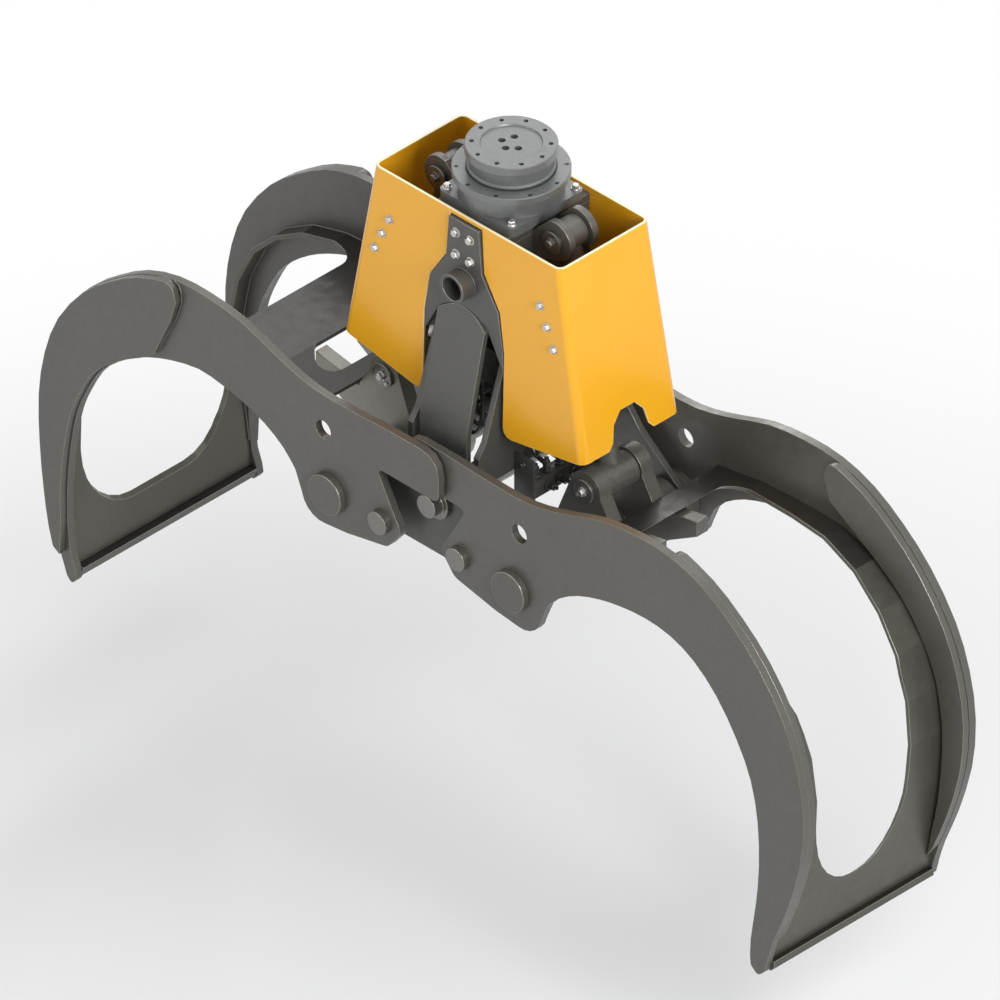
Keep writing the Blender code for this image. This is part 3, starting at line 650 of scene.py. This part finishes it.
# a bar on brackets outside each web, with rigid pipes up to the valve block
BAR_IN, BAR_OUT, BAR_HALF = 0.168, 0.214, 0.122
BAR_LOW, BAR_HIGH = PZ + 0.130, PZ + 0.182
BAR_MID = (BAR_LOW + BAR_HIGH) / 2
for side, s in (("left", -1), ("right", 1)):
    bm = bmesh.new()
    x0, x1 = sorted((s * BAR_IN, s * BAR_OUT))
    slab(bm, (x0, -BAR_HALF, BAR_LOW), (x1, BAR_HALF, BAR_HIGH))
    for y in (-1, 1):
        b0, b1 = sorted((s * 0.1403, s * 0.218))
        y0, y1 = sorted((y * 0.1222, y * 0.1302))
        slab(bm, (b0, y0, PZ + 0.126), (b1, y1, PZ + 0.262))
    piece(f"{side}_lower_manifold", bm, "frame", "frame")
    bm = bmesh.new()
    for y in (-0.096, -0.052, 0.0, 0.052, 0.096):
        fitting(bm, (s * 0.191, y, BAR_HIGH + 0.0002), (0, 0, 1), 0.0105)
    for y in (-0.074, -0.028, 0.028, 0.074):
        fitting(bm, (s * (BAR_OUT + 0.0002), y, BAR_MID), (s, 0, 0.25), 0.0095)
    for y in (-0.045, 0.0, 0.045):
        line = curved([(s * 0.167, y, BAR_MID), (s * 0.125, y, BAR_MID),
                       (s * 0.095, y, PZ + 0.166), (s * 0.077, y, PZ + 0.195),
                       (s * 0.070, y, PZ + 0.240), (s * 0.070, y, PZ + 0.352)], 5)
        sweep(bm, line, 0.0075, 12)
        hex_head(bm, line[0], (-s, 0, 0), 0.021, 0.014)
    for y in (-1, 1):
        hex_head(bm, (s * 0.178, y * 0.130916, PZ + 0.235), (0, y, 0), 0.013, 0.007, 0.009)
    piece(f"{side}_lower_fittings", bm, "fitting", "frame")


# stage, light and camera

def seen_rays(tree):
    """1 for rays from the camera and for those that metal or glass sends on."""
    rays = tree.nodes.new("ShaderNodeLightPath")
    seen = rays.outputs["Is Camera Ray"]
    for ray in ("Is Glossy Ray", "Is Transmission Ray"):
        either = tree.nodes.new("ShaderNodeMath")
        either.operation = "MAXIMUM"
        tree.links.new(seen, either.inputs[0])
        tree.links.new(rays.outputs[ray], either.inputs[1])
        seen = either.outputs["Value"]
    return seen


FLOOR_Z = -0.51            # the closing jaws reach down nearly this far
FLOOR_FADE = (1.2, 3.4)    # from the object's middle


def pale_floor():
    """Pale paint that keeps the shadow near the object and fades to white further out."""
    material = bpy.data.materials.new("floor_pale")
    tree, nodes, links = nodes_of(material)
    shader = nodes["Principled BSDF"]
    shader.inputs["Base Color"].default_value = (0.86, 0.86, 0.86, 1)
    shader.inputs["Roughness"].default_value = 0.9
    white = nodes.new("ShaderNodeEmission")
    place = nodes.new("ShaderNodeTexCoord")
    far = nodes.new("ShaderNodeVectorMath")
    far.operation = "LENGTH"
    fade = nodes.new("ShaderNodeMapRange")
    fade.interpolation_type = "SMOOTHSTEP"
    fade.inputs["From Min"].default_value, fade.inputs["From Max"].default_value = FLOOR_FADE
    both = nodes.new("ShaderNodeMath")
    both.operation = "MULTIPLY"
    blend = nodes.new("ShaderNodeMixShader")
    links.new(place.outputs["Object"], far.inputs[0])
    links.new(far.outputs["Value"], fade.inputs["Value"])
    links.new(fade.outputs["Result"], both.inputs[0])
    links.new(seen_rays(tree), both.inputs[1])
    links.new(both.outputs["Value"], blend.inputs["Fac"])
    links.new(shader.outputs["BSDF"], blend.inputs[1])
    links.new(white.outputs["Emission"], blend.inputs[2])
    links.new(blend.outputs["Shader"], nodes["Material Output"].inputs["Surface"])
    return material


floor_bm = bmesh.new()
bmesh.ops.create_grid(floor_bm, x_segments=2, y_segments=2, size=60)
floor_mesh = bpy.data.meshes.new("floor")
floor_bm.to_mesh(floor_mesh)
floor_bm.free()
floor = bpy.data.objects.new("floor", floor_mesh)
floor.location = (0, 0, FLOOR_Z)
scene.collection.objects.link(floor)
floor_mesh.materials.append(pale_floor())


MIDDLE = Vector((0, 0, 0.95))


def area(name, at, size, watts):
    """A square lamp that looks at the object's middle."""
    light = bpy.data.lights.new(name, "AREA")
    light.energy = watts
    light.size = size
    obj = bpy.data.objects.new(name, light)
    obj.location = at
    obj.rotation_euler = (MIDDLE - Vector(at)).to_track_quat("-Z", "Y").to_euler()
    scene.collection.objects.link(obj)


area("key", (5.5, -1.8, 4.2), 3.0, 280)
area("fill", (-2.2, -5.5, 2.6), 3.5, 80)
area("top", (0.5, 0.8, 6.0), 3.5, 90)
area("back", (-3.5, 4.5, 3.5), 2.5, 120)

world = bpy.data.worlds.new("studio")
scene.world = world
world.use_nodes = True
tree = world.node_tree
background = tree.nodes["Background"]
output = tree.nodes["World Output"]
background.inputs["Color"].default_value = (0.80, 0.81, 0.83, 1)
background.inputs["Strength"].default_value = 0.42
white = tree.nodes.new("ShaderNodeBackground")
white.inputs["Color"].default_value = (1, 1, 1, 1)
white.inputs["Strength"].default_value = 1.0
blend = tree.nodes.new("ShaderNodeMixShader")
tree.links.new(seen_rays(tree), blend.inputs["Fac"])
tree.links.new(background.outputs["Background"], blend.inputs[1])
tree.links.new(white.outputs["Background"], blend.inputs[2])
tree.links.new(blend.outputs["Shader"], output.inputs["Surface"])

# the photo is an isometric view, so the lens is long and the camera far
DISTANCE_PER_LENS = 0.07778
data = bpy.data.cameras.new("camera")
camera = bpy.data.objects.new("camera", data)
scene.collection.objects.link(camera)
data.lens = 1600
data.sensor_width = 36
data.clip_start = 1.0
data.clip_end = 400
target = Vector((-0.0224, -0.0224, PZ - 0.0391))
back = Vector((1, -1, 1)).normalized()
camera.location = target + back * (DISTANCE_PER_LENS * data.lens)
camera.rotation_euler = (-back).to_track_quat("-Z", "Y").to_euler()
scene.camera = camera
scene.view_settings.view_transform = "Standard"
